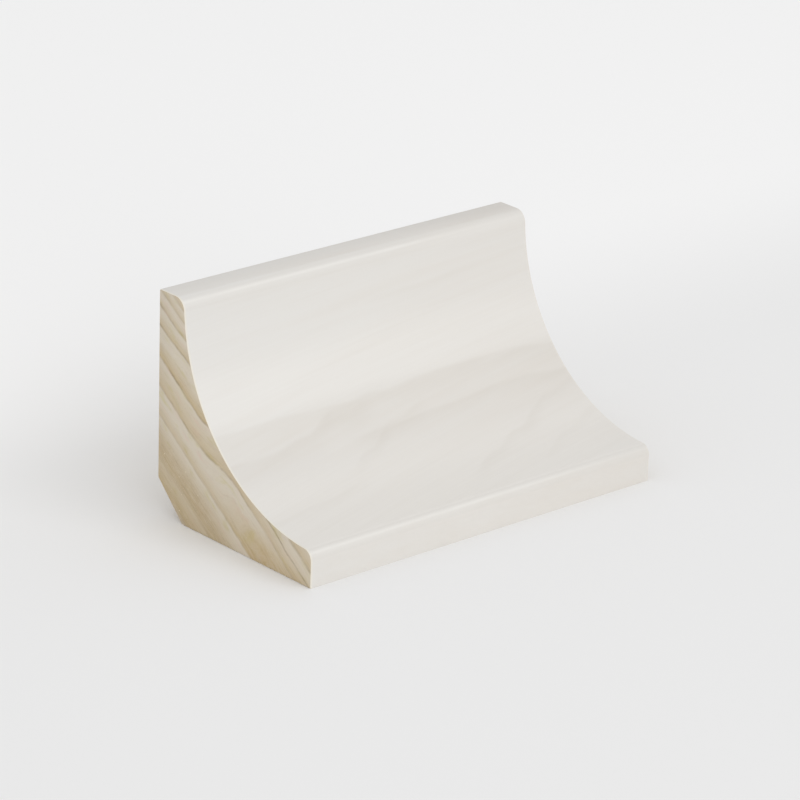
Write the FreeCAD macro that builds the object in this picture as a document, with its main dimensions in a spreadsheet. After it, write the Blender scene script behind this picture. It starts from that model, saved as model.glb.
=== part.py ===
import FreeCAD, Part
import os
import Sketcher

# Scotia moulding: a straight length of timber with one hollow cove along its front, in millimetres.
# X runs along the length. The back face looks towards +Y and the nose towards -Y.
# The bottom face lies on Z = 0, and the origin is the centre of the bounding box's bottom.

DIMENSIONS = {
    "sample_length": 82.0,
    "profile_depth": 43.0,
    "profile_height": 43.0,
    "top_land": 7.0,
    "nose_height": 7.0,
    "cove_radius": 36.0,
    "back_chamfer": 7.0,
    "top_rounding": 2.5,
    "nose_rounding": 2.0,
}

# A rounding takes at most this share of the flat face beside it.
LARGEST_SHARE = 0.9


def make_sheet(doc, dimensions):
    """Puts the driving dimensions into a spreadsheet, one named cell each."""
    sheet = doc.addObject("Spreadsheet::Sheet", "sizes")
    for row, (name, value) in enumerate(dimensions.items(), start=1):
        sheet.set(f"A{row}", name)
        sheet.set(f"B{row}", str(value))
        sheet.setAlias(f"B{row}", name)
    doc.recompute()
    return sheet


def origin_plane(body, role):
    """The body's own origin plane with the given role."""
    return next(feature for feature in body.Origin.OriginFeatures if feature.Role == role)


def add_constraint(sketch, name, formula, *definition):
    """Adds one dimension to the sketch and binds it to a formula on the sheet."""
    index = sketch.addConstraint(Sketcher.Constraint(*definition))
    sketch.renameConstraint(index, name)
    sketch.setExpression(f"Constraints.{name}", formula)


def draw_section(sketch):
    """The moulding's section: sketch x is global Y and sketch y is global Z."""
    half_depth = DIMENSIONS["profile_depth"] / 2
    height = DIMENSIONS["profile_height"]
    chamfer = DIMENSIONS["back_chamfer"]
    corners = {
        "chamfer_bottom": FreeCAD.Vector(half_depth - chamfer, 0, 0),
        "nose_bottom": FreeCAD.Vector(-half_depth, 0, 0),
        "nose_top": FreeCAD.Vector(-half_depth, DIMENSIONS["nose_height"], 0),
        "land_front": FreeCAD.Vector(half_depth - DIMENSIONS["top_land"], height, 0),
        "land_back": FreeCAD.Vector(half_depth, height, 0),
        "chamfer_top": FreeCAD.Vector(half_depth, chamfer, 0),
    }

    def straight(start, end):
        return sketch.addGeometry(Part.LineSegment(corners[start], corners[end]), False)

    bottom = straight("chamfer_bottom", "nose_bottom")
    nose = straight("nose_bottom", "nose_top")
    land = straight("land_front", "land_back")
    back = straight("land_back", "chamfer_top")
    chamfer_line = straight("chamfer_top", "chamfer_bottom")

    # The cove is one hollow arc from the nose up to the top land, centred in front of and above it.
    nose_top = corners["nose_top"]
    land_front = corners["land_front"]
    chord = land_front - nose_top
    towards_centre = FreeCAD.Vector(-chord.y, chord.x, 0).normalize()
    rise = (DIMENSIONS["cove_radius"] ** 2 - (chord.Length / 2) ** 2) ** 0.5
    centre = (nose_top + land_front) / 2 + towards_centre * rise
    circle = Part.Circle(centre, FreeCAD.Vector(0, 0, 1), DIMENSIONS["cove_radius"])
    arc = Part.ArcOfCircle(circle, circle.parameter(nose_top), circle.parameter(land_front))
    cove = sketch.addGeometry(arc, False)

    # The sketch's origin is the start of its level axis.
    start_point, end_point = 1, 2
    level_axis = -1
    origin = (level_axis, start_point)
    joined = [
        (bottom, end_point, nose, start_point),
        (nose, end_point, cove, start_point),
        (cove, end_point, land, start_point),
        (land, end_point, back, start_point),
        (back, end_point, chamfer_line, start_point),
        (chamfer_line, end_point, bottom, start_point),
    ]
    for ends in joined:
        sketch.addConstraint(Sketcher.Constraint("Coincident", *ends))
    for line in (bottom, land):
        sketch.addConstraint(Sketcher.Constraint("Horizontal", line))
    for line in (nose, back):
        sketch.addConstraint(Sketcher.Constraint("Vertical", line))
    sketch.addConstraint(Sketcher.Constraint("PointOnObject", bottom, start_point, level_axis))

    bottom_rear = (bottom, start_point)
    nose_foot = (nose, start_point)
    nose_tip = (nose, end_point)
    land_lip = (land, start_point)
    land_rear = (land, end_point)
    back_foot = (back, end_point)
    half = "sizes.profile_depth / 2"
    land_width = DIMENSIONS["top_land"]
    radius = DIMENSIONS["cove_radius"]
    add_constraint(sketch, "back_face", half, "DistanceX", *origin, *land_rear, half_depth)
    add_constraint(sketch, "nose_face", half, "DistanceX", *nose_foot, *origin, half_depth)
    add_constraint(sketch, "top_face", "sizes.profile_height", "DistanceY", *origin, *land_rear, height)
    add_constraint(sketch, "nose_rise", "sizes.nose_height", "DistanceY", *nose_foot, *nose_tip, nose_top.y)
    add_constraint(sketch, "land_width", "sizes.top_land", "DistanceX", *land_lip, *land_rear, land_width)
    add_constraint(sketch, "cove_arc", "sizes.cove_radius", "Radius", cove, radius)
    leg = "sizes.back_chamfer"
    add_constraint(sketch, "chamfer_rise", leg, "DistanceY", *origin, *back_foot, chamfer)
    add_constraint(sketch, "chamfer_run", leg, "DistanceX", *bottom_rear, *land_rear, chamfer)


def edge_along_length(shape, across, up):
    """Name of the straight edge parallel to X that passes through the given Y and Z."""
    near = 1e-4
    for number, edge in enumerate(shape.Edges, start=1):
        ends = [vertex.Point for vertex in edge.Vertexes]
        if all(abs(point.y - across) < near and abs(point.z - up) < near for point in ends):
            return f"Edge{number}"
    raise ValueError("no edge along the length at that place")


def add_rounding(doc, body, name, base, place, radius_cell, wall_cell):
    """Rounds one long edge of the moulding, within the flat face beside it."""
    rounding = body.newObject("PartDesign::Fillet", name)
    rounding.Base = (base, [edge_along_length(base.Shape, *place)])
    rounding.setExpression("Radius", f"min(sizes.{radius_cell}; {LARGEST_SHARE} * sizes.{wall_cell})")
    doc.recompute()
    return rounding


def make_moulding(doc, sheet):
    """The one piece: its section padded both ways along the length, with two front arrises rounded."""
    body = doc.addObject("PartDesign::Body", "scotia_moulding")
    body.Label = "scotia_moulding"
    body.Placement = FreeCAD.Placement()

    sketch = body.newObject("Sketcher::SketchObject", "section")
    sketch.AttachmentSupport = [(origin_plane(body, "YZ_Plane"), "")]
    sketch.MapMode = "FlatFace"
    draw_section(sketch)
    doc.recompute()

    length = body.newObject("PartDesign::Pad", "length")
    length.Profile = sketch
    length.SideType = "Symmetric"
    length.setExpression("Length", "sizes.sample_length")
    doc.recompute()

    half_depth = sheet.profile_depth / 2
    land_front = (half_depth - sheet.top_land, sheet.profile_height)
    nose_top = (-half_depth, sheet.nose_height)
    top_arris = add_rounding(doc, body, "top_arris", length, land_front, "top_rounding", "top_land")
    add_rounding(doc, body, "nose_arris", top_arris, nose_top, "nose_rounding", "nose_height")
    return body


def check(doc):
    """Stops if any object of the document failed to build."""
    for item in doc.Objects:
        failed = {"Invalid", "Error"} & set(item.State)
        if failed:
            raise RuntimeError(f"{item.Name} is {failed}")


def main():
    doc = FreeCAD.newDocument("ScotiaMoulding")
    sheet = make_sheet(doc, DIMENSIONS)
    pieces = [make_moulding(doc, sheet)]
    doc.recompute()
    check(doc)
    for piece in pieces:
        if piece.Shape.isNull() or not piece.Shape.isValid():
            raise RuntimeError(f"{piece.Label} has no valid shape")
    os.makedirs("parts", exist_ok=True)
    for piece in pieces:
        piece.Shape.exportStep(f"parts/{piece.Label}.step")
        box = piece.Shape.BoundBox
        size = [round(side, 3) for side in (box.XLength, box.YLength, box.ZLength)]
        print(piece.Label, "is", size, "mm and", round(piece.Shape.Volume, 1), "mm3")


main()
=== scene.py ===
# %% [markdown]
# # A scotia moulding
#
# A scotia is a hollow timber trim. It covers the joint where an upright face meets a level one, and its
# cove leads the eye softly round the corner. This one is a short sample of softwood, planed to a square
# section with a deep cove, with a thin white glaze on the faces that show. Its sawn end is bare. The
# back, the bottom, the chamfered heel and the far end face away, and are taken to be bare as well.
#
# The piece could be modelled from nothing, but a CAD model already fixes its size and place. So this
# script loads that model, measures it, and then dresses the one piece where it lies: first the two
# finishes, then the mesh that carries them, then the floor and the light.

# %% Load the packed model
import math
import bmesh
import bpy
from mathutils import Matrix, Vector


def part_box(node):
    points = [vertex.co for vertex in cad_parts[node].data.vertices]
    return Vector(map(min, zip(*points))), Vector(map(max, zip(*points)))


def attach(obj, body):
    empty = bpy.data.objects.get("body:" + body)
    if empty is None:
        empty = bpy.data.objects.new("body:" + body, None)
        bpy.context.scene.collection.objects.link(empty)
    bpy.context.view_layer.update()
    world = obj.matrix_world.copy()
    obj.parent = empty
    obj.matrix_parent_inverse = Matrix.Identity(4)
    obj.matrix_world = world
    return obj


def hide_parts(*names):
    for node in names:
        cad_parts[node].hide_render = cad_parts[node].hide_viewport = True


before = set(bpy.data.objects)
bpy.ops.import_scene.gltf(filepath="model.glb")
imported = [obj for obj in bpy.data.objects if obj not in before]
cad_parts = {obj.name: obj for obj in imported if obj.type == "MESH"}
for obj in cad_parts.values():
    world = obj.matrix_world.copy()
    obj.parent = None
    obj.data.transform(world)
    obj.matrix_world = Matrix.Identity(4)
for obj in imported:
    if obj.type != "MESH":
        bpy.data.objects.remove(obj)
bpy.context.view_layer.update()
MM = 0.001

low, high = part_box("scotia_moulding")
size = high - low
print(len(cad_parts), "node in the frame, measuring", [round(side / MM, 2) for side in size], "mm")

# %% [markdown]
# ## The camera
#
# The moulding is looked at from its left and a little from above, so the near end, the cove and the
# narrow top all show. A long lens from far off keeps its long edges nearly parallel. A camera could be
# placed by its coordinates, but those say nothing about the view. It is easier to turn it to the
# direction in which it looks, and then to step back along that direction from the point that it aims at.

# %% Camera
CAMERA_AZIMUTH = math.radians(-41.8)
CAMERA_ELEVATION = math.radians(21.3)
CAMERA_ROLL = math.radians(1.8)
CAMERA_DISTANCE = 760 * MM
CAMERA_AIM = Vector((-1.84, 0.46, 19.24)) * MM
LENS = 188.3
NEAREST_IN_VIEW = 10 * MM


def direction(azimuth, elevation):
    """The way from the piece to something round it: azimuth 0 is in front, and 90 degrees on the right."""
    level = math.cos(elevation)
    return Vector((math.sin(azimuth) * level, -math.cos(azimuth) * level, math.sin(elevation)))


def place_camera():
    """Makes the camera and points it at the piece."""
    data = bpy.data.cameras.new("camera")
    data.lens = LENS
    data.clip_start = NEAREST_IN_VIEW
    camera = bpy.data.objects.new("camera", data)
    bpy.context.scene.collection.objects.link(camera)
    back = direction(CAMERA_AZIMUTH, CAMERA_ELEVATION)
    turn = (-back).to_track_quat("-Z", "Y").to_matrix().to_4x4() @ Matrix.Rotation(CAMERA_ROLL, 4, "Z")
    camera.matrix_world = Matrix.Translation(CAMERA_AIM + back * CAMERA_DISTANCE) @ turn
    bpy.context.scene.camera = camera
    return camera


camera = place_camera()
print("the camera stands", round(camera.matrix_world.translation.z / MM), "mm above the floor")

# %% [markdown]
# ## Shader maths
#
# Wood is a pattern in three dimensions, so the colour of each point is worked out from its place, and
# that takes well over a hundred small nodes. They could be wired by hand in the node editor, but nobody
# can read such a web. This class wraps one output of a node and gives it Python's operators, so a formula
# such as `1 - rings * 0.4` builds its Math nodes by itself. Colours can't go through a Math node, which
# would turn them grey, so `blend` mixes them in a Mix node.

# %% A socket that reads like a number
class Value:
    """One output of a shader node."""

    def __init__(self, socket):
        self.socket = socket

    def node(self, kind, inputs, output=0, stops=(), interpolation="LINEAR", **settings):
        """Adds a node of a kind: first its settings and stops, then the values or links of its sockets."""
        made = self.socket.id_data.nodes.new(kind)
        for name, setting in settings.items():
            setattr(made, name, setting)
        if stops:
            fill_ramp(made.color_ramp, stops, interpolation)
        feed(made, inputs)
        return Value(made.outputs[output])

    def maths(self, operation, *numbers):
        return self.node("ShaderNodeMath", dict(enumerate(numbers)), operation=operation)

    def __add__(self, other):
        return self.maths("ADD", self, other)

    __radd__ = __add__

    def __sub__(self, other):
        return self.maths("SUBTRACT", self, other)

    def __rsub__(self, other):
        return self.maths("SUBTRACT", other, self)

    def __mul__(self, other):
        return self.maths("MULTIPLY", self, other)

    def __pow__(self, power):
        return self.maths("POWER", self, power)

    def __abs__(self):
        return self.maths("ABSOLUTE", self)

    def ease(self, start, end):
        """0 before start and 1 after end, with a smooth step between them."""
        inputs = {"Value": self, "From Min": start, "From Max": end}
        return self.node("ShaderNodeMapRange", inputs, interpolation_type="SMOOTHSTEP")

    def between(self, start, full, fade, end):
        """0 up to start, 1 from full to fade, and 0 again from end."""
        return self.ease(start, full) * (1 - self.ease(fade, end))

    def near(self, place, width):
        """1 at a place, and 0 from width away on both sides."""
        return 1 - abs(self - place).ease(0, width)

    def ramp(self, span, stops, interpolation="LINEAR"):
        """A curve through stops, each a place from 0 to span and a level from 0 to 1."""
        shares = [(place / span, level) for place, level in stops]
        inputs = {"Fac": self * (1 / span)}
        return self.node("ShaderNodeValToRGB", inputs, stops=shares, interpolation=interpolation)

    def blend(self, first, second):
        """The first colour where this value is 0, the second where it is 1."""
        return self.node("ShaderNodeMix", {0: self, 6: first, 7: second}, output=2, data_type="RGBA")


def feed(node, inputs):
    """Fills a node's sockets: a Value is linked, and a number or colour is set on the socket itself."""
    for key, value in inputs.items():
        if isinstance(value, Value):
            node.id_data.links.new(value.socket, node.inputs[key])
        else:
            node.inputs[key].default_value = value


def fill_ramp(ramp, stops, interpolation):
    """Sets a ramp's stops, each a share from 0 to 1 and a grey level."""
    ramp.interpolation = interpolation
    while len(ramp.elements) < len(stops):
        ramp.elements.new(1.0)
    for element, (share, level) in zip(ramp.elements, stops):
        element.position = share
        element.color = (level, level, level, 1)


print("a Value knows", sum(callable(item) for item in vars(Value).values()), "operators and helpers")

# %% [markdown]
# ## Colours, places and noise
#
# Every finish here starts from the same few things. A colour is written as a screen shows it, from 0 to
# 255, and turned into the linear light that a shader counts in. A place is the Object coordinate in
# millimetres, because a pattern that is tied to the object stays on it when it moves. Noise could be used
# as it comes, the same in all directions, but wood has fibres, so here it is stretched: long one way and
# short the others.

# %% Colours, places and noise
def colour(red, green, blue):
    """A screen colour from 0 to 255 as the linear light that shaders use, by the sRGB curve."""
    def linear(channel):
        share = channel / 255
        return share / 12.92 if share <= 0.04045 else ((share + 0.055) / 1.055) ** 2.4
    return (linear(red), linear(green), linear(blue), 1)


def new_material(name, slot_colour):
    """A material, its surface shader, and the point that it colours, in the object's own millimetres."""
    material = bpy.data.materials.new(name)
    material.use_nodes = True
    material.diffuse_color = slot_colour
    nodes = material.node_tree.nodes
    metres = Value(nodes.new("ShaderNodeTexCoord").outputs["Object"])
    place = metres.node("ShaderNodeVectorMath", {0: metres, "Scale": 1 / MM}, operation="SCALE")
    return material, nodes["Principled BSDF"], place


def parts(vector):
    """The three numbers of a vector."""
    split = vector.node("ShaderNodeSeparateXYZ", {"Vector": vector})
    return [Value(output) for output in split.socket.node.outputs]


def joined(first, second, third):
    """Three numbers as one vector."""
    return first.node("ShaderNodeCombineXYZ", {0: first, 1: second, 2: third})


def noise(place, stretch, detail=2.0, roughness=0.5, shift=(0, 0, 0)):
    """Smooth noise from about -1 to 1, with features as many millimetres long as stretch says each way."""
    scale = tuple(1 / length for length in stretch)
    moved = place.node("ShaderNodeMapping", {"Vector": place, "Location": shift, "Scale": scale})
    inputs = {"Vector": moved, "Scale": 1.0, "Detail": detail, "Roughness": roughness}
    return place.node("ShaderNodeTexNoise", inputs) * 2 - 1


print("mid grey on the screen is", round(colour(128, 128, 128)[0], 3), "in linear light")

# %% [markdown]
# ## The way through the rings
#
# A board is cut from a log, and the rings that show on its end are the log's. They could be painted on
# each face by itself, but then they wouldn't meet at the edges. Here a point's place in the log is worked
# out instead, so the rings of the end run on along the back, the heel and the bottom, as in one piece of
# wood.
#
# Two directions matter: out through the rings, and across the end along a ring. No tree is perfect, so
# the way out is bent a little: the outer rings bulge towards the nose, all of them twist slowly along the
# piece, and noise makes each one wander.

# %% The way through the rings
LENGTH = size.x / MM
HALF_DEPTH = size.y / 2 / MM
RING_SLOPE = math.radians(54.2)
TWIST = 0.0022
TWIST_CENTRE = 3

# How many mm each bend moves a ring, and where it sets in: in from the back, outwards or across.
BULGE = 2.8
BULGE_DEPTH = (10, 23)
BULGE_OUT = (16.5, 21)
LESS_BULGE = 0.4
LESS_BULGE_ACROSS = (21, 28)
LEAN = 0.8
LEAN_ACROSS = (-20, -11)
LEAN_OUT = (25.5, 29.5)

# How many mm noise moves a ring, as it drifts along the piece and wanders over the end. Each noise gives
# how long its features are in mm, its detail, its roughness and, if it has one, its shift.
DRIFT = 1.4
DRIFT_NOISE = ((55, 40, 40), 2, 0.5, (0, 3, 1))
DRIFT_START = (0, 30)
WANDER = 0.42
WANDER_NOISE = ((4.5, 4.5, 4.5), 4, 0.62)
WANDER_ALONG = 0.08
WANDER_OUT = 0.3


def grain_directions(place):
    """How far out in the log a point lies, how far across it, along the piece and in from the back."""
    x, y, height = parts(place)
    along = x + LENGTH / 2
    depth = HALF_DEPTH - y
    out = depth * math.cos(RING_SLOPE) + height * math.sin(RING_SLOPE)
    across = depth * math.sin(RING_SLOPE) - height * math.cos(RING_SLOPE)
    bulge = depth.ease(*BULGE_DEPTH) * out.ease(*BULGE_OUT)
    bulge = bulge * (BULGE - across.ease(*LESS_BULGE_ACROSS) * LESS_BULGE)
    lean = across.ease(*LEAN_ACROSS) * out.ease(*LEAN_OUT) * LEAN
    twist = along * (across - TWIST_CENTRE) * TWIST
    drift = noise(place, *DRIFT_NOISE) * along.ease(*DRIFT_START) * DRIFT
    on_ring = joined(across, along * WANDER_ALONG, out * WANDER_OUT)
    wander = noise(on_ring, *WANDER_NOISE) * WANDER
    return out - bulge - lean + twist + drift + wander, across, along, depth


print("the rings lean", round(90 - math.degrees(RING_SLOPE), 1), "degrees from upright")

# %% [markdown]
# ## The rings
#
# A tree adds one ring each year: pale wood in spring, which turns to a denser tan and stops at once when
# the winter comes. Cut across, the rings look like a row of saw teeth with a thin dark line at each step.
# A wave texture would give them all one width, and real rings differ, so they are listed one by one and a
# colour ramp draws the teeth. A second ramp draws the lines.

# %% The rings
RINGS = (
    # place of the dense edge, its darkness, how thick the change is, how far the tan fades, and its line
    (1.0, 0.9, 0.6, 4.0, 0.3),
    (5.0, 0.82, 1.2, 8.0, 0.1),
    (9.4, 0.7, 1.4, 6.4, 0.0),
    (15.8, 0.5, 0.6, 2.4, 0.35),
    (20.3, 0.6, 0.5, 4.3, 0.65),
    (24.8, 0.8, 0.5, 2.9, 0.8),
    (29.65, 0.6, 0.4, 2.2, 0.7),
    (32.75, 0.45, 0.4, 1.5, 0.6),
    (35.2, 0.4, 0.4, 1.4, 0.4),
    (37.1, 0.4, 0.4, 2.0, 0.3),
)
RING_SPAN = 46.0
LINE_WIDTH = 0.36
HEART_DARKNESS = 0.3
HEART_FADE = 1.0


def ring_density(out):
    """0 in the palest wood of a ring and 1 in the densest: up at once at each edge, then slowly down."""
    stops = [(0.0, HEART_DARKNESS)]
    dark, last_edge, fade = HEART_DARKNESS, 0.0, HEART_FADE
    for edge, next_dark, change, next_fade, _ in RINGS:
        start = edge - change / 2
        if last_edge + fade < start:
            stops.append((last_edge + fade, 0.0))
        stops.append((start, max(0.0, dark * (1 - (start - last_edge) / fade))))
        stops.append((edge + change / 2, next_dark))
        dark, last_edge, fade = next_dark, edge, next_fade
    return out.ramp(RING_SPAN, stops)


def ring_lines(out):
    """The thin dark line in which the growth of a year ends."""
    stops = []
    for edge, _, _, _, strength in RINGS:
        stops += [(edge - LINE_WIDTH, 0.0), (edge, strength), (edge + LINE_WIDTH, 0.0)]
    return out.ramp(RING_SPAN, stops)


widths = [later[0] - ring[0] for ring, later in zip(RINGS, RINGS[1:])]
print(len(RINGS), "rings,", round(min(widths), 1), "to", round(max(widths), 1), "mm wide")

# %% [markdown]
# ## The colours of the timber
#
# Softwood is never one brown. Its springwood is a pale cream that wanders towards pink and olive, its
# summerwood is tan, and this piece is browner at the heel and golden towards the nose. One ramp from
# light to dark could give the rings but not these shifts. So the colour is built in layers, as a grainer
# paints wood: the pale ground first, then each zone over it, and the ring lines last.

# %% The colours of the timber
SPRINGWOOD = colour(214, 204, 187)
SUMMERWOOD = colour(192, 171, 129)
BROWN_WOOD = colour(188, 168, 136)
GOLDEN_WOOD = colour(190, 165, 116)
PINK_WOOD = colour(216, 198, 182)
OLIVE_WOOD = colour(205, 195, 158)
RING_LINE = colour(124, 104, 68)
FLECK = colour(236, 226, 200)

# Where the zones lie, in mm out through the rings, unless the name says across.
HEART_ZONE = (4.5, 8)
BROWN_ZONE = (8, 9.8, 11.6, 15.2)
BROWN_BENDS_ACROSS = (6, 18)
BROWN_BEND = 1.3
GOLDEN_START = (15.3, 16.1)
GOLDEN_END = (11, 16)
GOLDEN_WIDENS = 0.25
GOLDEN_ACROSS = (5, 24)
EXTRA_LINE = 22.6

# What changes towards the nose: from where to where, in mm in from the back, and by how much.
PALER_RINGS_DEPTH = (24, 36)
PALER_RINGS = 0.3
FAINTER_LINES_DEPTH = (20, 30)
FAINTER_LINES = 0.35
EXTRA_LINE_DEPTH = (26, 31)

# Where the noise tints the springwood, how strong each layer is, and how much noise varies it.
PINK_TINT = (0.05, 0.6)
OLIVE_TINT = (-0.05, -0.55)
BROWN_LEVEL = 0.4
BROWN_VARIES = 0.4
GOLDEN_LEVEL = 0.6
GOLDEN_VARIES = 0.4
LINE_LEVEL = 0.5
LINE_VARIES = 0.8

# How open the grain of the palest wood is, and what dense, brown and golden wood add.
OPEN_GRAIN = 0.3
OPENER_IN_DENSE = 0.5
OPENER_IN_BROWN = 0.5
OPENER_IN_GOLDEN = 0.4


def zones_of_wood(out, across):
    """Where the wood is brown, at the heel, and where it is golden, towards the nose."""
    inner = out + across.ease(*BROWN_BENDS_ACROSS) * BROWN_BEND
    brown = inner.between(*BROWN_ZONE) + (1 - inner.ease(*HEART_ZONE))
    golden = across.ease(*GOLDEN_ACROSS) * out.ease(*GOLDEN_START)
    return brown, golden * (1 - (out - across * GOLDEN_WIDENS).ease(*GOLDEN_END))


def ringed_wood(out, across, depth, marks):
    """The colour of the rings and their lines, and how open the grain is."""
    density = ring_density(out) * (1 - depth.ease(*PALER_RINGS_DEPTH) * PALER_RINGS)
    brown, golden = zones_of_wood(out, across)
    wood = marks["tint"].ease(*PINK_TINT).blend(SPRINGWOOD, PINK_WOOD)
    wood = marks["tint"].ease(*OLIVE_TINT).blend(wood, OLIVE_WOOD)
    wood = density.blend(wood, SUMMERWOOD)
    wood = (brown * (BROWN_LEVEL + marks["blotch"] * BROWN_VARIES)).blend(wood, BROWN_WOOD)
    wood = (golden * (GOLDEN_LEVEL + marks["streaks"] * GOLDEN_VARIES)).blend(wood, GOLDEN_WOOD)
    extra = out.near(EXTRA_LINE, LINE_WIDTH) * depth.ease(*EXTRA_LINE_DEPTH)
    lines = (ring_lines(out) + extra) * (LINE_LEVEL + marks["blotch"] * LINE_VARIES)
    lines = lines * (1 - depth.ease(*FAINTER_LINES_DEPTH) * FAINTER_LINES)
    wood = lines.blend(wood, RING_LINE)
    open_grain = OPEN_GRAIN + density * OPENER_IN_DENSE + brown * OPENER_IN_BROWN
    return wood, open_grain + golden * OPENER_IN_GOLDEN


print("the tan zones start", BROWN_ZONE[0], "and", GOLDEN_START[0], "mm out from the heel")

# %% [markdown]
# ## Bare softwood
#
# The saw leaves the ends rough, with torn fibres, open pores and pale specks, and dry bare wood has
# hardly any shine. A scan of real end grain would show all this, but only on the face that was scanned.
# Noise that is short across the rings and long along them looks like fibres from every side, so each kind
# of mark is one noise with its own stretch. The marks are strongest where the grain is open, and the same
# noise raises a slight relief.

# %% Bare softwood
GRAIN_NOISE = {
    # how long a feature is outwards, across and along in mm, its detail, its roughness, and its shift
    "streaks": ((0.4, 4, 60), 3, 0.65),
    "fine": ((0.17, 7, 60), 2, 0.6),
    "tint": ((1.4, 5, 60), 3, 0.5, (5, 0, 0)),
    "blotch": ((1.6, 2.4, 40), 3, 0.5, (0, 9, 0)),
}
PORE_NOISE = {
    # the same, but in the piece's own X, Y and Z, because the saw's marks follow the piece
    "pores": ((2.0, 0.28, 0.28), 2, 0.6),
    "specks": ((3.0, 0.35, 0.35), 1, 0.5, (0, 4, 0)),
}
SAW_MARKS = (
    # the noise, the values between which the mark grows, how strong it is, and its colour
    ("streaks", (0.0, 0.8), 0.42, RING_LINE),
    ("streaks", (0.0, -0.7), 0.5, SPRINGWOOD),
    ("fine", (0.0, 0.6), 0.3, RING_LINE),
    ("fine", (0.0, -0.6), 0.3, SPRINGWOOD),
    ("pores", (0.1, 0.8), 0.42, RING_LINE),
    ("specks", (0.45, 0.62), 0.7, FLECK),
)
BARE_ROUGHNESS = 0.78
PORES_ROUGHEN = 0.06
BARE_SPECULAR = 0.25
GRAIN_RELIEF = 0.06 * MM
GRAIN_BUMP = 0.25
PORES_IN_RELIEF = 0.5


def bare_timber():
    """The unfinished wood of the ends, the back, the bottom and the heel."""
    material, surface, place = new_material("bare_softwood", SPRINGWOOD)
    out, across, along, depth = grain_directions(place)
    grain = joined(out, across, along)
    marks = {name: noise(grain, *values) for name, values in GRAIN_NOISE.items()}
    marks |= {name: noise(place, *values) for name, values in PORE_NOISE.items()}
    wood, open_grain = ringed_wood(out, across, depth, marks)
    for name, growth, strength, paint in SAW_MARKS:
        wood = (marks[name].ease(*growth) * open_grain * strength).blend(wood, paint)
    relief = marks["pores"] * PORES_IN_RELIEF + marks["streaks"]
    lift = {"Height": relief, "Strength": GRAIN_BUMP, "Distance": GRAIN_RELIEF}
    bump = relief.node("ShaderNodeBump", lift)
    rough = marks["pores"] * PORES_ROUGHEN + BARE_ROUGHNESS
    feed(surface, {"Base Color": wood, "Roughness": rough, "Normal": bump})
    feed(surface, {"Specular IOR Level": BARE_SPECULAR})
    return material


bare = bare_timber()
print("bare wood made of", len(bare.node_tree.nodes), "nodes")

# %% [markdown]
# ## The sizes of the section
#
# Both the glaze and the mesh need to know the section: a flat land on top, a short upright nose in front,
# and between them the cove, a quarter of a circle whose centre is in front of the land and above the
# nose. Two small roundings take the sharpness off where the cove meets the land and the nose. Their
# centres could be typed in, but a rounding that touches both the cove and the flat beside it can only be
# in one place, so the radii decide it.

# %% The sizes of the section
TOP_LAND = 7 * MM
NOSE_HEIGHT = 7 * MM
HEEL = 7 * MM
TOP_ROUNDING = 2.5 * MM
NOSE_ROUNDING = 2 * MM

front, back, top = low.y, high.y, high.z
cove_radius = top - NOSE_HEIGHT
cove_centre = Vector((low.x, back - TOP_LAND - cove_radius, top))

nose_centre = Vector((low.x, front + NOSE_ROUNDING, 0))
nose_arm = cove_radius + NOSE_ROUNDING
nose_centre.z = cove_centre.z - math.sqrt(nose_arm ** 2 - (nose_centre.y - cove_centre.y) ** 2)

top_centre = Vector((low.x, 0, top - TOP_ROUNDING))
top_arm = cove_radius + TOP_ROUNDING
top_centre.y = cove_centre.y + math.sqrt(top_arm ** 2 - (top_centre.z - cove_centre.z) ** 2)

print("the cove's radius is", round(cove_radius / MM, 2), "mm")
print("the nose's rounding is centred", round(nose_centre.z / MM, 2), "mm up")

# %% [markdown]
# ## Where the hollow lies
#
# The streaks and the thickness of the glaze follow the hollow, not the axes. They could be drawn on an
# unwrapped UV map, but then they would depend on the mesh. The way round the hollow is simple enough to
# work out from a point's place: its angle about the cove's centre gives how far down the curve it is, and
# its distance from that centre says how far it stands behind the curve.

# %% Where the hollow lies
TOP = size.z / MM
COVE_RADIUS = cove_radius / MM


def round_the_hollow(place):
    """How far along the piece a point lies, how far down the curve, how far behind it, and how high."""
    x, y, height = parts(place)
    inward = y + HALF_DEPTH
    down = TOP - height
    angle = down.maths("ARCTAN2", down, inward)
    reach = (inward * inward + down * down) ** 0.5
    return x + LENGTH / 2, angle * COVE_RADIUS, reach - COVE_RADIUS, height


print("the hollow measures", round(COVE_RADIUS * math.pi / 2, 1), "mm round its curve")

# %% [markdown]
# ## Streaks in the hollow
#
# Where a ring runs out through the hollow it shows through the glaze as a faint warm streak, sharp on its
# upper side and fading downwards. Noise alone gives a grain that could be anywhere. The few strong
# streaks are what the eye remembers of one board, so each is traced as a line through a few places,
# which a ramp joins smoothly, and noise is kept for the fine grain between them.

# %% Streaks in the hollow
STREAKS = (
    # strength, how far it fades downwards, then places: along the piece and down the curve from its top
    (1.0, 6.5, ((0, 31.6), (10, 31.4), (19, 30), (27, 27), (37, 25.6), (50, 24.8), (66, 24.6), (82, 25.4))),
    (1.0, 8.0, ((0, 25.8), (14, 25.3), (24, 25.8), (38, 26.4))),
    (1.1, 4.0, ((26, 33.0), (40, 32.4), (52, 31.6), (64, 30.6), (82, 31.0))),
    (0.7, 3.5, ((44, 49.0), (54, 44.5), (62, 41.0), (75, 35.0), (82, 33.2))),
    (0.5, 3.0, ((0, 45.5), (12, 44.5), (26, 42.0))),
    (0.5, 3.0, ((40, 9.2), (53, 8.3), (72, 7.0))),
    (0.7, 3.0, ((22, 39.5), (30, 36.0), (38, 31.8), (50, 28.6))),
    (0.4, 3.0, ((60, 50.0), (72, 44.5), (82, 40.5))),
)
STREAK_EDGE = 0.5
STREAK_TAPER = 7.0
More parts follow.
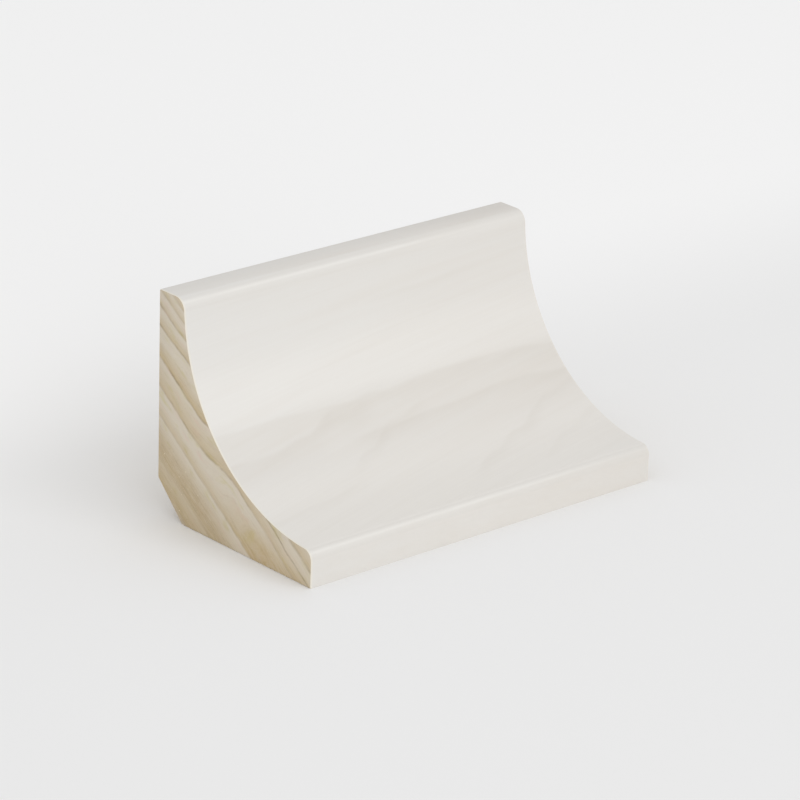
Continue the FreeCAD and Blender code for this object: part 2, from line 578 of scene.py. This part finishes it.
RUNS_OFF_WITHIN = 1
LONGEST_ARC = 60.0


def streak(along, arc, strength, fade, route):
    """One ring's edge as it runs out through the hollow, tapered unless it runs off at an end."""
    stops = [(place, down / LONGEST_ARC) for place, down in route]
    below = arc - along.ramp(LENGTH, stops, "EASE") * LONGEST_ARC
    body = below.between(-STREAK_EDGE, STREAK_EDGE, 0, fade)
    start, end = route[0][0], route[-1][0]
    if start > 0:
        body = body * along.ease(start, start + STREAK_TAPER)
    if end < LENGTH - RUNS_OFF_WITHIN:
        body = body * (1 - along.ease(end - STREAK_TAPER, end))
    return body * strength


most_places = max(len(route) for _, _, route in STREAKS)
print(len(STREAKS), "streaks, traced through up to", most_places, "places")

# %% [markdown]
# ## Painted light and shade on the film
#
# The white of the film is not even. It is painted whiter in the hollow: a painted sheen in a band below
# its shoulder and painted light near its foot, where the hollow catches more light. It is painted greyer
# on the roundings, a painted shade that takes back the light they catch, and it is greyer towards the
# back of the land. The film could be a second layer of mesh, but it is thinner than a hair. So how much
# lighter or greyer it is gets worked out as a number and only its colour changes, from grey to a bright
# white, with the warmth of the wood between.

# %% Painted light and shade on the film
GLAZE = colour(222, 220, 216)
GLAZE_WARM = colour(220, 214, 206)
# The white of the painted light and painted sheen in the hollow.
GLAZE_PAINTED_LIGHT = colour(230, 227, 222)
# The grey of the painted shade on the roundings, also used for the greyer back of the land.
GLAZE_GREYER = colour(213, 210, 205)

# How much the wood warms the film: at the far end, low in the hollow, in its bands and on the land.
FAR_WARMTH = 0.3
LOW_WARMTH = 0.25
LOW_WARMTH_START = (20, 30)
BAND_WARMTH = 0.25
LAND_WARMTH = 0.25

# Where the hollow gets its painted light, in mm down the curve, and how strong it is there: the painted
# sheen below the shoulder and the painted light near the foot.
SHOULDER_START = (11, 18)
SHOULDER_END = (23, 26)
SHOULDER_LEVEL = 0.3
SHOULDER_GROWS = 0.17
SHOULDER_GROWS_ALONG = (0, 60)
FOOT_START = (34, 42)
FOOT_LEVEL = 0.6
LOW_FOOT_START = (46, 54)
LOW_FOOT_LEVEL = 0.3

# Where the roundings get their painted shade or the film lies on the land, in mm below the top, above the
# floor or behind the curve.
LAND_BELOW = (0.02, 0.1)
LAND_BEHIND = (2.4, 6.5)
TOP_SHADE_SPAN = (0.15, 0.3, 2.0, 2.6)
NOSE_SHADE_SPAN = (4.9, 5.5, 8, 9)
MORE_NOSE_SHADE_FROM = (6.3, 6.6)
LEAVES_HOLLOW = (0.1, 0.8)
LEAVES_COVE = (0, 0.15)

# How strong the painted shade on the roundings and the grey on the land are, and where along the piece and
# by how much that eases off.
LAND_GREYING = 0.3
LAND_EASES = 0.2
LAND_EASES_ALONG = (45, 80)
TOP_SHADE_LEVEL = 0.3
TOP_EASES = 0.3
TOP_EASES_ALONG = (40, 80)
NOSE_SHADE_LEVEL = 0.35
MORE_NOSE_SHADE = 0.25


def warm_film(along, arc, land, bands):
    """The film before its painted light and shade, which the wood warms most at the far end and low in the
    hollow.
    """
    warmth = along.ease(0, LENGTH) * FAR_WARMTH + arc.ease(*LOW_WARMTH_START) * LOW_WARMTH
    warmth = warmth + bands * BAND_WARMTH + land * LAND_WARMTH
    return warmth.blend(GLAZE, GLAZE_WARM)


def glaze_film(along, arc, behind, height, marks):
    """The film's colour, warmed by the wood, with painted light in the hollow, painted shade on the
    roundings and grey on the land.
    """
    below_top = TOP - height
    land = 1 - below_top.ease(*LAND_BELOW)
    film = warm_film(along, arc, land, marks["bands"])
    # Painted sheen in a band below the shoulder, and painted light near the foot of the hollow.
    shoulder = arc.ease(*SHOULDER_START) * (1 - (arc + marks["wobble"]).ease(*SHOULDER_END))
    painted_light = shoulder * (SHOULDER_LEVEL + along.ease(*SHOULDER_GROWS_ALONG) * SHOULDER_GROWS)
    painted_light = painted_light + arc.ease(*FOOT_START) * FOOT_LEVEL + arc.ease(*LOW_FOOT_START) * LOW_FOOT_LEVEL
    painted_light = painted_light * (1 - behind.ease(*LEAVES_HOLLOW))
    film = painted_light.blend(film, GLAZE_PAINTED_LIGHT)
    # Greyer towards the back of the land.
    on_land = land * behind.ease(*LAND_BEHIND) * (LAND_GREYING - along.ease(*LAND_EASES_ALONG) * LAND_EASES)
    # Painted shade on the top and nose roundings, which takes back the light that they catch.
    top_rounding_shade = below_top.between(*TOP_SHADE_SPAN) * (TOP_SHADE_LEVEL - along.ease(*TOP_EASES_ALONG) * TOP_EASES)
    nose_rounding_shade = height.between(*NOSE_SHADE_SPAN) * behind.ease(*LEAVES_COVE)
    nose_rounding_shade = nose_rounding_shade * (NOSE_SHADE_LEVEL + height.ease(*MORE_NOSE_SHADE_FROM) * MORE_NOSE_SHADE)
    return (on_land + top_rounding_shade + nose_rounding_shade).blend(film, GLAZE_GREYER)


# The white of the painted light against the grey of the painted shade.
print("thick film is", round(GLAZE_PAINTED_LIGHT[1] / GLAZE_GREYER[1], 2), "times as light as thin film")

# %% [markdown]
# ## White glaze
#
# The finish of the show faces looks satin, so it gets a soft shine and a very slight relief of the grain.
# Over the film come its three marks. The wood shows through as streaks and fine fibres. Two painted
# highlights run along the crests of the roundings, where the real piece shows a narrow glint of gloss. And
# round each end the film has a cream rim over the cut edge, partly the film's own edge and partly a
# painted highlight on the eased arris. A light along each edge could make the glints, but it would
# change with the lamps, while a painted highlight in the colour stays where it is.

# %% White glaze
GLAZE_NOISE = {
    # how long a feature is along, down the curve and behind it in mm, its detail, roughness and shift
    "fibres": ((26, 0.42, 0.42), 3, 0.6),
    "bands": ((34, 2.6, 2.6), 3),
    "patches": ((9, 3, 3), 2, 0.5, (3, 0, 0)),
    "wobble": ((17, 7, 7), 2, 0.5, (0, 7, 0)),
}
WOBBLE = 0.9
GRAIN_DROP = 0.05
GRAIN_DROPS_MORE = 0.0045

# The wood under the film: its colour, how strong each mark is, and between which values the noise shows.
GLAZE_STREAK = colour(205, 199, 190)
FIGURE_LEVEL = 0.23
FIGURE_VARIES = 0.14
BAND_LEVEL = 0.1
BAND_GROWTH = (-0.3, 0.9)
FIBRE_LEVEL = 0.1
FIBRE_GROWTH = (-0.6, 0.9)

# The painted highlights along the crests, in mm above the floor, and the rim, in mm from an end. Both fade
# to the far end.
# The colour of the painted highlights along the crests.
CREST_HIGHLIGHT = colour(231, 229, 224)
TOP_CREST = 42.2
NOSE_CREST = 6.47
CREST_WIDTH = 0.42
CREST_LEVEL = 0.5
CREST_VARIES = 0.25
CREST_FADES = 0.7
CREST_FADES_ALONG = (45, 82)
# The rim's colour: the film's cream edge, with a painted highlight on the eased arris.
RIM_CREAM_AND_HIGHLIGHT = colour(228, 223, 212)
RIM = (0.1, 0.6)
RIM_FADES = 0.7
RIM_FADES_ALONG = (60, 80)

GLAZE_ROUGHNESS = 0.42
FIBRES_ROUGHEN = 0.04
FIBRE_RELIEF = 0.03 * MM
FIBRE_BUMP = 0.12


def glaze_marks(place):
    """Where a point lies on the hollow, and the noises that follow the grain there."""
    along, arc, behind, height = round_the_hollow(place)
    flow = arc + along * (GRAIN_DROP + arc * GRAIN_DROPS_MORE)
    grain = joined(along, flow, behind + COVE_RADIUS)
    marks = {name: noise(grain, *values) for name, values in GLAZE_NOISE.items()}
    marks["wobble"] = marks["wobble"] * WOBBLE
    return along, arc, behind, height, marks


def wood_below(along, arc, marks):
    """How much the wood shades the film: its streaks, its bands and its fibres."""
    figure = sum(streak(along, arc + marks["wobble"], *traced) for traced in STREAKS)
    shade = figure * (FIGURE_LEVEL + marks["patches"] * FIGURE_VARIES)
    bands = marks["bands"].ease(*BAND_GROWTH) * BAND_LEVEL
    return shade + bands + marks["fibres"].ease(*FIBRE_GROWTH) * FIBRE_LEVEL


def crest_highlights_and_rims(film, along, height, patches):
    """The film with painted highlights along the crests of its roundings, and the cream rims at its ends,
    partly painted highlight.
    """
    # Painted highlights: narrow bright lines along the crests of both roundings.
    crests = height.near(TOP_CREST, CREST_WIDTH) + height.near(NOSE_CREST, CREST_WIDTH)
    crests = crests * (CREST_LEVEL + patches * CREST_VARIES)
    film = (crests * (1 - along.ease(*CREST_FADES_ALONG) * CREST_FADES)).blend(film, CREST_HIGHLIGHT)
    # The rim: the film's cream edge with a painted highlight on the eased arris of each end.
    rim = 1 - (LENGTH / 2 - abs(along - LENGTH / 2)).ease(*RIM)
    return (rim * (1 - along.ease(*RIM_FADES_ALONG) * RIM_FADES)).blend(film, RIM_CREAM_AND_HIGHLIGHT)


def glazed_timber():
    """The show faces: a thin satin white film with the grain faint beneath it."""
    material, surface, place = new_material("white_glaze", GLAZE)
    along, arc, behind, height, marks = glaze_marks(place)
    film = glaze_film(along, arc, behind, height, marks)
    film = wood_below(along, arc, marks).blend(film, GLAZE_STREAK)
    film = crest_highlights_and_rims(film, along, height, marks["patches"])
    rough = marks["fibres"] * FIBRES_ROUGHEN + GLAZE_ROUGHNESS
    lift = {"Height": marks["fibres"], "Strength": FIBRE_BUMP, "Distance": FIBRE_RELIEF}
    bump = film.node("ShaderNodeBump", lift)
    feed(surface, {"Base Color": film, "Roughness": rough, "Normal": bump})
    return material


glaze = glazed_timber()
print("glaze made of", len(glaze.node_tree.nodes), "nodes")

# %% [markdown]
# ## The outline of the end
#
# A planer cuts the whole length with one set of knives, so the piece is its section drawn out along a
# line. The section could be a list of points, but then a round stretch is as rough as the list. Here it
# grows from one vertex: extruding the vertex makes a straight side, and spinning it about a centre makes
# a round one, with as many steps as the curve needs.

# %% The outline of the end
COVE_STEPS = 72
ROUNDING_STEPS = 10


def side(bm, start, y, z):
    """Extrudes the outline's last vertex to a new place in the section."""
    made = bmesh.ops.extrude_vert_indiv(bm, verts=[start])
    made["verts"][0].co = Vector((low.x, y, z))
    return made["verts"][0]


def curve(bm, start, centre, towards, steps):
    """Spins the outline's last vertex about a centre, until it lies the way that towards points."""
    arm = start.co - centre
    turn = math.atan2(towards.z, towards.y) - math.atan2(arm.z, arm.y)
    turn = (turn + math.pi) % (2 * math.pi) - math.pi
    made = bmesh.ops.spin(bm, geom=[start], cent=centre, axis=(1, 0, 0), angle=turn, steps=steps)
    return next(item for item in made["geom_last"] if isinstance(item, bmesh.types.BMVert))


def draw_section(bm):
    """The outline of the near end, from the heel along the bottom and round to the heel again."""
    heel = bm.verts.new((low.x, back - HEEL, low.z))
    point = side(bm, heel, front, low.z)
    point = side(bm, point, front, nose_centre.z)
    point = curve(bm, point, nose_centre, cove_centre - nose_centre, ROUNDING_STEPS)
    point = curve(bm, point, cove_centre, top_centre - cove_centre, COVE_STEPS)
    point = curve(bm, point, top_centre, Vector((0, 0, 1)), ROUNDING_STEPS)
    point = side(bm, point, back, top)
    point = side(bm, point, back, low.z + HEEL)
    bm.edges.new((point, heel))


outline = bmesh.new()
draw_section(outline)
around = sum(edge.calc_length() for edge in outline.edges)
print("the outline has", len(outline.verts), "points and is", round(around / MM, 1), "mm round")

# %% [markdown]
# ## The length and its eased corners
#
# The outline is filled with one face, and extruding that face gives the closed piece. No timber has
# corners of no width, and one without them catches no light and looks like card. So a bevel takes a
# quarter of a millimetre off the long corners, and then a little less off the rim of each end. A Bevel
# modifier could do it too, but here the two differ, and the nose's lowest edge stays sharp, because a gap
# under it would let light through to the floor.

# %% The length and its eased corners
ARRIS = 0.25 * MM
ARRIS_STEPS = 3
END_ARRIS = 0.22 * MM
END_ARRIS_STEPS = 2
LONG_CORNER = math.radians(30)
END_CORNER = math.radians(60)


def runs_along(edge):
    """Whether an edge goes from one end of the piece to the other."""
    return abs(edge.verts[0].co.x - edge.verts[1].co.x) > size.x / 2


def is_low_front(edge):
    """Whether an edge is the nose's lowest one, which closes on the floor."""
    place = edge.verts[0].co
    return place.y < front + ARRIS and place.z < low.z + ARRIS


def draw_out(bm):
    """Fills the outline and extrudes it along the whole length."""
    end = bmesh.ops.contextual_create(bm, geom=bm.edges[:])["faces"]
    drawn = bmesh.ops.extrude_face_region(bm, geom=end)["geom"]
    far = [item for item in drawn if isinstance(item, bmesh.types.BMVert)]
    bmesh.ops.translate(bm, verts=far, vec=(size.x, 0, 0))
    bmesh.ops.recalc_face_normals(bm, faces=bm.faces[:])


def round_off(bm, edges, offset, steps):
    """Bevels some edges to a round arris of their own width and steps."""
    bmesh.ops.bevel(bm, geom=edges, offset=offset, segments=steps, profile=0.5, affect="EDGES", material=-1)


def ease_corners(bm):
    """Bevels the long corners, and then the rims of the two ends."""
    corners = [edge for edge in bm.edges if runs_along(edge) and edge.calc_face_angle() > LONG_CORNER]
    corners = [edge for edge in corners if not is_low_front(edge)]
    round_off(bm, corners, ARRIS, ARRIS_STEPS)
    rims = [edge for edge in bm.edges if not runs_along(edge) and edge.calc_face_angle() > END_CORNER]
    round_off(bm, rims, END_ARRIS, END_ARRIS_STEPS)


draw_out(outline)
ease_corners(outline)
loose = sum(not edge.is_manifold for edge in outline.edges)
print("volume", round(outline.calc_volume() / MM ** 3), "mm3, with", loose, "open edges")

# %% [markdown]
# ## One piece with two finishes
#
# The glaze and the bare wood meet along sharp lines, at the rim of each end and at the back of the land.
# One material with a mask could hold both, but the mask would need the shape all over again. Faces
# already know which way they look, so each takes the finish of its side: bare if it looks along the
# piece, back or down, and glazed if not. The finished piece rides on the model's body and stands for the
# plain CAD piece.

# %% One piece with two finishes
LOOKS_ALONG = 0.95
WRAPS_END = 0.8
SHOWS = -0.2
SMOOTH_UP_TO = math.radians(35)


def share_finishes(bm):
    """Gives each face its finish. The glaze wraps halfway over the eased rim of each end."""
    for face in bm.faces:
        shows = abs(face.normal.x) < WRAPS_END and face.normal.z - face.normal.y > SHOWS
        face.material_index = 1 if shows else 0
        face.smooth = abs(face.normal.x) < LOOKS_ALONG


def make_moulding(bm):
    """The whole piece as one closed mesh, with bare and glazed faces."""
    share_finishes(bm)
    mesh = bpy.data.meshes.new("moulding")
    bm.to_mesh(mesh)
    bm.free()
    mesh.materials.append(bare)
    mesh.materials.append(glaze)
    mesh.set_sharp_from_angle(angle=SMOOTH_UP_TO)
    piece = bpy.data.objects.new("moulding", mesh)
    bpy.context.scene.collection.objects.link(piece)
    return piece


moulding = make_moulding(outline)
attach(moulding, "root")
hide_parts("scotia_moulding")
glazed = sum(face.material_index for face in moulding.data.polygons)
print("the moulding has", len(moulding.data.polygons), "faces, of which", glazed, "are glazed")

# %% [markdown]
# ## The floor
#
# A pale piece needs a pale floor that is still a little darker, or its edges are lost. White paper on a
# table does this in a studio. The floor could be a plain plane, but paper that sweeps up behind looks
# paler further off, as it catches more light, so painted light eases its colour from a light grey in
# front to nearly white behind. The paleness is in the paper's colour and not in more light, which would
# bleach the piece too.

# %% The floor
FLOOR = colour(241, 241, 241)
FAR_FLOOR = colour(252, 252, 252)
FLOOR_SIZE = 4
PALER_FROM = 20
PALER_TO = 100
PAPER_ROUGHNESS = 0.9
PAPER_SPECULAR = 0.1


def make_floor():
    """A wide floor of matt paper under the piece."""
    bm = bmesh.new()
    bmesh.ops.create_grid(bm, x_segments=1, y_segments=1, size=FLOOR_SIZE)
    mesh = bpy.data.meshes.new("floor")
    bm.to_mesh(mesh)
    bm.free()
    material, surface, place = new_material("floor_paper", FLOOR)
    # Painted light: the paper pales from a light grey in front to nearly white behind, as a lit sweep
    # would.
    paper = parts(place)[1].ease(PALER_FROM, PALER_TO).blend(FLOOR, FAR_FLOOR)
    feed(surface, {"Base Color": paper})
    feed(surface, {"Roughness": PAPER_ROUGHNESS, "Specular IOR Level": PAPER_SPECULAR})
    mesh.materials.append(material)
    floor = bpy.data.objects.new("floor", mesh)
    bpy.context.scene.collection.objects.link(floor)
    return floor


floor = make_floor()
print("the floor is", round(floor.dimensions.x, 1), "m wide")

# %% [markdown]
# ## The light
#
# White on white needs soft light from all round, with a little more from in front, so that the hollow
# still shows. An image of a studio could light it, but a plain white world gives the same even light with
# no file. Two large lamps add the rest: a low one in front and a little to the left, and a higher one in
# front and a little to the right, so that the hollow is lit from both sides.

# %% The light
WORLD_LIGHT = 0.80
LAMP_DISTANCE = 2.5
LAMP_SIZE = 1.4
LAMPS = (
    # name, azimuth and elevation in degrees, and the light that it adds on a face that looks at it
    ("low_lamp", -20, 15, 0.183),
    ("high_lamp", 20, 40, 0.137),
)


def make_world():
    """Even light from all round."""
    world = bpy.data.worlds.new("world")
    bpy.context.scene.world = world
    world.use_nodes = True
    background = world.node_tree.nodes["Background"]
    feed(background, {"Color": (1, 1, 1, 1), "Strength": WORLD_LIGHT})


def make_lamp(name, azimuth, elevation, level):
    """A large square lamp that adds level to the light on a face that looks straight at it."""
    away = direction(math.radians(azimuth), math.radians(elevation))
    data = bpy.data.lights.new(name, "AREA")
    data.shape = "SQUARE"
    data.size = LAMP_SIZE
    data.energy = level * (math.pi * LAMP_DISTANCE) ** 2
    lamp = bpy.data.objects.new(name, data)
    bpy.context.scene.collection.objects.link(lamp)
    towards = away.to_track_quat("Z", "Y").to_matrix().to_4x4()
    lamp.matrix_world = Matrix.Translation(away * LAMP_DISTANCE) @ towards
    return lamp


make_world()
lamps = [make_lamp(*values) for values in LAMPS]
bpy.context.scene.view_settings.view_transform = "Standard"
print("the lamps give", [round(lamp.data.energy, 1) for lamp in lamps], "W")

# %% [markdown]
# ## The sizes, last
#
# The looks must not change the size of the part.
